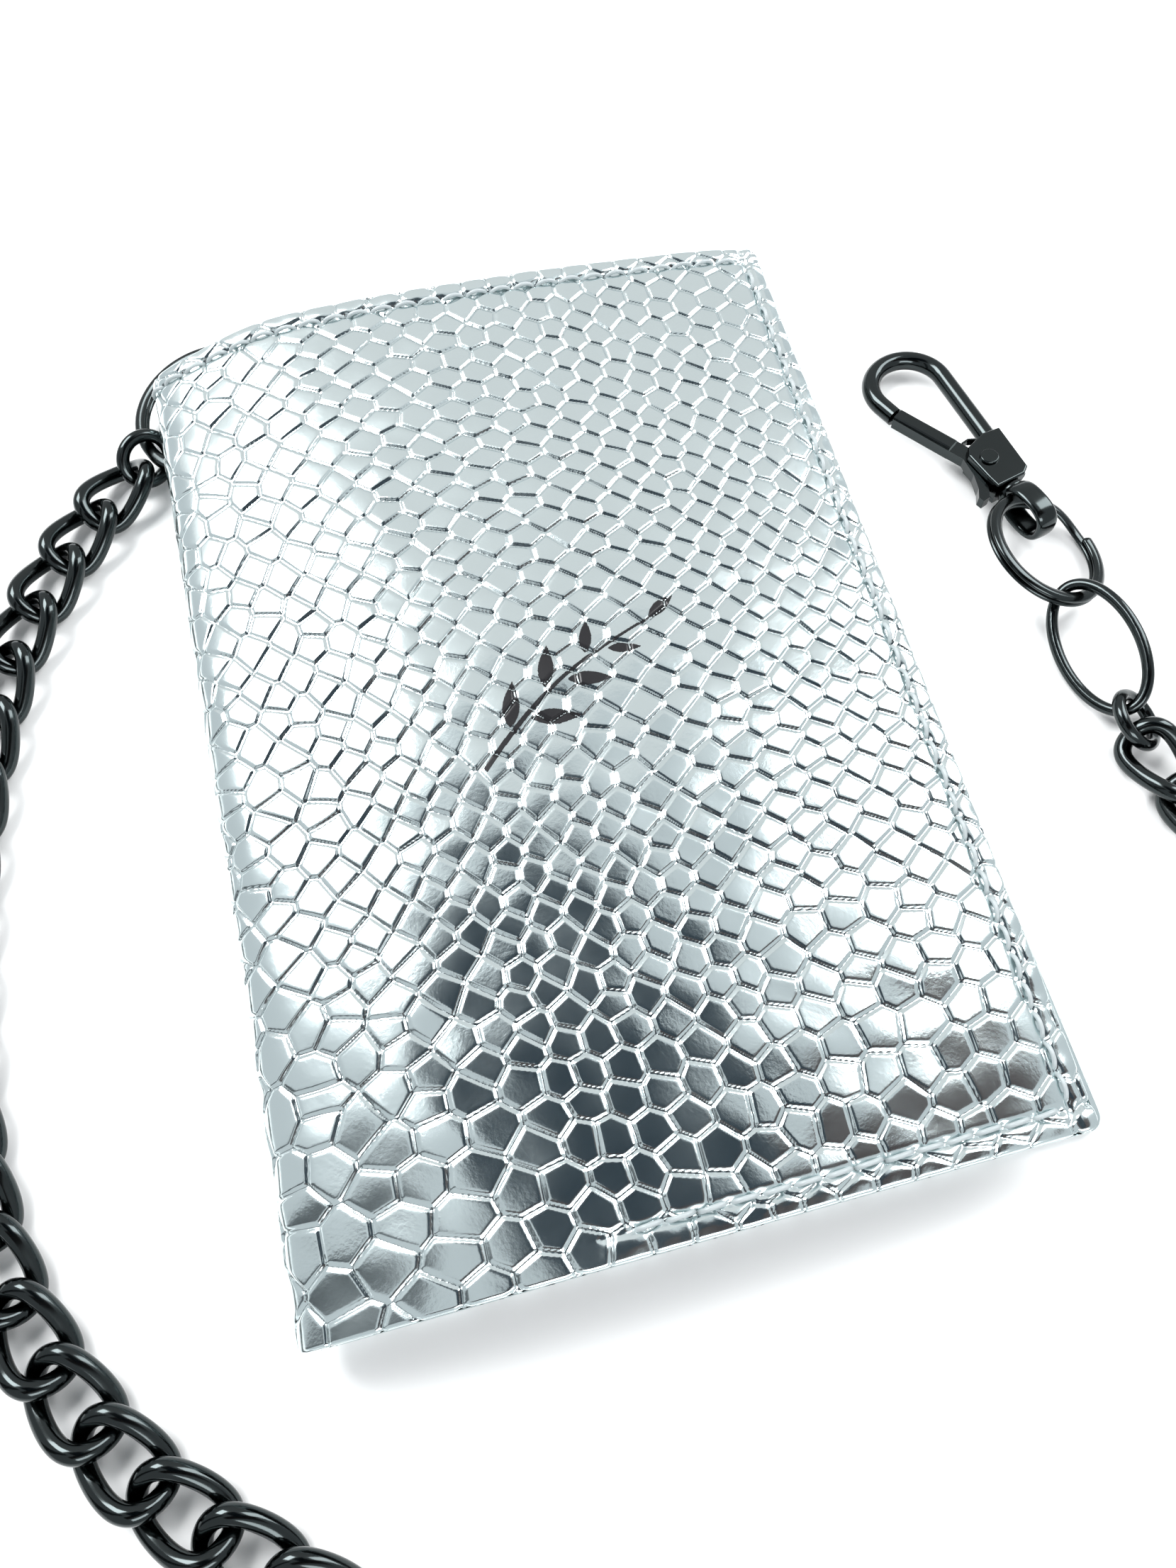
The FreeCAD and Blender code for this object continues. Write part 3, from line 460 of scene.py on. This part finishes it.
# ------------------------------------------------------------------ the back lining, inside the turned hem
def padded_slab(name, x0, x1, y0, y1, z0, z1, r, bevel, mat, slot_name):
    """A flat piece with rounded corners and a soft upper edge."""
    ring = []
    for cx, cy, a0 in ((x1 - r, y0 + r, -90), (x1 - r, y1 - r, 0), (x0 + r, y1 - r, 90), (x0 + r, y0 + r, 180)):
        for k in range(9):
            a = math.radians(a0 + k * 90 / 8)
            ring.append((cx, cy, math.cos(a), math.sin(a)))
    levels = [(0, z0)] + [(bevel * (1 - math.cos(math.radians(k * 15))), z1 - bevel + bevel * math.sin(math.radians(k * 15))) for k in range(7)]
    v, f = [], []
    for d, z in levels:
        v += [(cx + ca * (r - d), cy + sa * (r - d), z) for cx, cy, ca, sa in ring]
    n = len(ring)
    for j in range(len(levels) - 1):
        f += [(j * n + i, j * n + (i + 1) % n, (j + 1) * n + (i + 1) % n, (j + 1) * n + i) for i in range(n)]
    f += [tuple(range(n))[::-1], tuple(range((len(levels) - 1) * n, len(levels) * n))]
    o = mesh_object(name, v, f, mat, slot_name, smooth=False)
    return o


o = padded_slab("back_inner_lining", -32.0, 35.2, -54.2, 53.0, 0.95, 2.2, 1.4, 0.18, lining, "lining")
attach(o, "wallet_back")
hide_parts("back_lining")

# ------------------------------------------------------------------ split rings as real double coils


def coil(radius, wire, name, place, body, node):
    minor = wire * 0.54
    h = wire - minor
    t = np.linspace(0.40, 4 * math.pi - 0.40, 260)
    z = -h + 2 * h * smooth((t - (2 * math.pi - 0.36)) / 0.72)
    c = np.stack([radius * np.cos(t), radius * np.sin(t), z], -1)
    out = np.stack([np.cos(t), np.sin(t), 0 * t], -1)
    w = np.linspace(0, 2 * math.pi, 20, endpoint=False)
    ends = np.minimum(1, np.sqrt(np.clip(np.minimum(t - t[0], t[-1] - t) / 0.045, 0.02, 1)))
    # oval section
    cs, sn = 0.97 * np.cos(w), 0.97 * np.sin(w)
    v = c[:, None, :] + (ends[:, None] * wire * cs[None, :])[..., None] * out[:, None, :]
    v[..., 2] += ends[:, None] * minor * sn[None, :]
    i = np.arange(v.shape[0] * v.shape[1]).reshape(v.shape[:2])
    f = np.stack([i[:-1], np.roll(i[:-1], -1, 1), np.roll(i[1:], -1, 1), i[1:]], -1).reshape(-1, 4)
    faces = [tuple(x) for x in f] + [tuple(i[0][::-1]), tuple(i[-1])]
    m = np.array(place)
    v = v.reshape(-1, 3) @ m[:3, :3].T + m[:3, 3]
    o = mesh_object(name, v, faces, hardware, "hardware")
    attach(o, body)
    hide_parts(node)
    return o


coil(9.15, 0.79, "spine_split_ring", Matrix.Translation((-33.7, 51.7, 3.95)) @ Matrix.Rotation(-math.atan(0.14), 4, "Y") @ Matrix.Rotation(0.3, 4, "Z"), "anchor_ring", "anchor_ring")
turn = math.atan2(0.9992, -0.03997)
coil(7.3, 0.78, "key_split_ring", Matrix.Translation((59.8, 5.9, 3.58)) @ Matrix.Rotation(turn, 4, "Z") @ Matrix.Rotation(math.radians(21.7), 4, "X") @ Matrix.Rotation(5.3, 4, "Z"), "key_ring", "key_ring")

# ------------------------------------------------------------------ the swivel eye: a broad band bent to a stirrup, with its collar
S_AX, L_AX, W_AX = np.array([-0.25539, 0.96468, -0.06453]), np.array([-0.9667, -0.25592, 0.0]), np.array([-0.01652, 0.06238, 0.99792])
HOOK_O = np.array([59.98, 11.35, 3.69])


def in_hook(p):
    p = np.asarray(p, float)
    return HOOK_O + p[..., :1] * S_AX + p[..., 1:2] * L_AX + p[..., 2:3] * W_AX


t = np.linspace(0, 2 * math.pi, 72, endpoint=False)
c, s_ = np.cos(t), np.sin(t)
e = 0.78
path = np.stack([0.27 + 3.15 * np.sign(c) * np.abs(c) ** e, 0 * t, 2.28 * np.sign(s_) * np.abs(s_) ** e], -1)
tan = np.roll(path, -1, 0) - np.roll(path, 1, 0)
tan /= np.linalg.norm(tan, axis=1)[:, None]
out = np.stack([tan[:, 2], 0 * t, -tan[:, 0]], -1)
w = np.linspace(0, 2 * math.pi, 24, endpoint=False)
cw, sw = np.sign(np.cos(w)) * np.abs(np.cos(w)) ** 0.7, np.sign(np.sin(w)) * np.abs(np.sin(w)) ** 0.7
band = path[:, None, :] + 0.50 * cw[None, :, None] * out[:, None, :]
band[..., 1] += 1.40 * sw[None, :]
i = np.arange(72 * 24).reshape(72, 24)
f = np.stack([i, np.roll(i, -1, 1), np.roll(np.roll(i, -1, 1), -1, 0), np.roll(i, -1, 0)], -1).reshape(-1, 4)
collar_profile = [(3.05, 0.0), (3.05, 1.2), (3.15, 1.62), (3.35, 1.78), (3.75, 1.78), (3.92, 1.62), (3.98, 1.3), (4.02, 0.98), (5.6, 0.98), (5.6, 1.3), (6.1, 1.3), (6.15, 0.0)]
q = np.linspace(0, 2 * math.pi, 40, endpoint=False)
cv = np.array([[(a, b * math.cos(k), b * math.sin(k)) for k in q] for a, b in collar_profile])
j = np.arange(cv.shape[0] * 40).reshape(cv.shape[0], 40)
cf = np.stack([j[:-1], np.roll(j[:-1], -1, 1), np.roll(j[1:], -1, 1), j[1:]], -1).reshape(-1, 4)
o = mesh_object("swivel_eye_band", *joined([(in_hook(band).reshape(-1, 3), [tuple(x) for x in f]), (in_hook(cv).reshape(-1, 3), [tuple(x) for x in cf])]), hardware, "hardware")
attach(o, "swivel_eye")
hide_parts("swivel_eye")

# ------------------------------------------------------------------ stage, light and camera
scene = bpy.context.scene
world = bpy.data.worlds.new("studio")
scene.world = world
world.use_nodes = True
bg = world.node_tree.nodes["Background"]
bg.inputs["Color"].default_value = (0.93, 0.97, 1.0, 1)
bg.inputs["Strength"].default_value = 0.72

floor_mat = material("floor", (0.92, 0.93, 0.93), 0.0, 0.6)
bpy.ops.mesh.primitive_plane_add(size=4.0, location=(0, 0, size_before[0][2] - 0.0002))
floor = bpy.context.object
floor.name = "floor"
floor.data.materials.append(floor_mat)


def card(name, centre, size, target, strength=None, color=(0.01, 0.012, 0.015)):
    bpy.ops.mesh.primitive_plane_add(size=1.0, location=[c * MM for c in centre])
    o = bpy.context.object
    o.name = name
    o.scale = (size[0] * MM, size[1] * MM, 1)
    d = Vector(target) - Vector(centre)
    o.rotation_euler = d.to_track_quat("Z", "Y").to_euler()
    m = bpy.data.materials.new(name)
    m.use_nodes = True
    b = m.node_tree.nodes["Principled BSDF"]
    b.inputs["Base Color"].default_value = (*color, 1)
    b.inputs["Roughness"].default_value = 0.9
    if strength is not None:
        b.inputs["Emission Color"].default_value = (1, 1, 1, 1)
        b.inputs["Emission Strength"].default_value = strength
    o.data.materials.append(m)
    o.visible_camera = False
    o.visible_shadow = False
    return o


dark = card("dark_card", (6, -14, 300), (150, 210), (0, 0, 0), color=(0.010, 0.020, 0.030))
low_dark = card("low_dark_card", (45, -118, 300), (430, 115), (0, 0, 0), color=(0.035, 0.024, 0.024))
bright = card("bright_card", (0, 520, 460), (1100, 620), (0, 0, 0), strength=0.80)
left_dark = card("side_card", (-260, -60, 150), (60, 420), (0, 0, 0), color=(0.05, 0.055, 0.06))


def area(name, centre, size, power, target=(0, 0, 0)):
    l = bpy.data.lights.new(name, "AREA")
    l.shape = "RECTANGLE"
    l.size, l.size_y = size[0] * MM, size[1] * MM
    l.energy = power
    o = bpy.data.objects.new(name, l)
    scene.collection.objects.link(o)
    o.location = [c * MM for c in centre]
    d = Vector(target) - Vector(centre)
    o.rotation_euler = d.to_track_quat("-Z", "Y").to_euler()
    return o


area("key_light", (-220, 260, 420), (260, 260), 3.2)
area("fill_light", (330, 120, 300), (160, 320), 1.5)
area("front_light", (60, -330, 260), (300, 120), 0.9)

cam = bpy.data.cameras.new("photo_camera")
cam.lens = 27.03
cam.sensor_width = 36.0
cam.clip_start = 0.001
cam_o = bpy.data.objects.new("photo_camera", cam)
scene.collection.objects.link(cam_o)
right, up, fwd = Vector((0.9674, -0.2537, 0.0)), Vector((0.2335, 0.8901, 0.3915)), Vector((0.0993, 0.3787, -0.9202))
rot = Matrix((right, up, -fwd)).transposed()
cam_o.matrix_world = Matrix.Translation(Vector((-13.58, -58.37, 121.9)) * MM) @ rot.to_4x4()
scene.camera = cam_o
scene.view_settings.view_transform = "Standard"
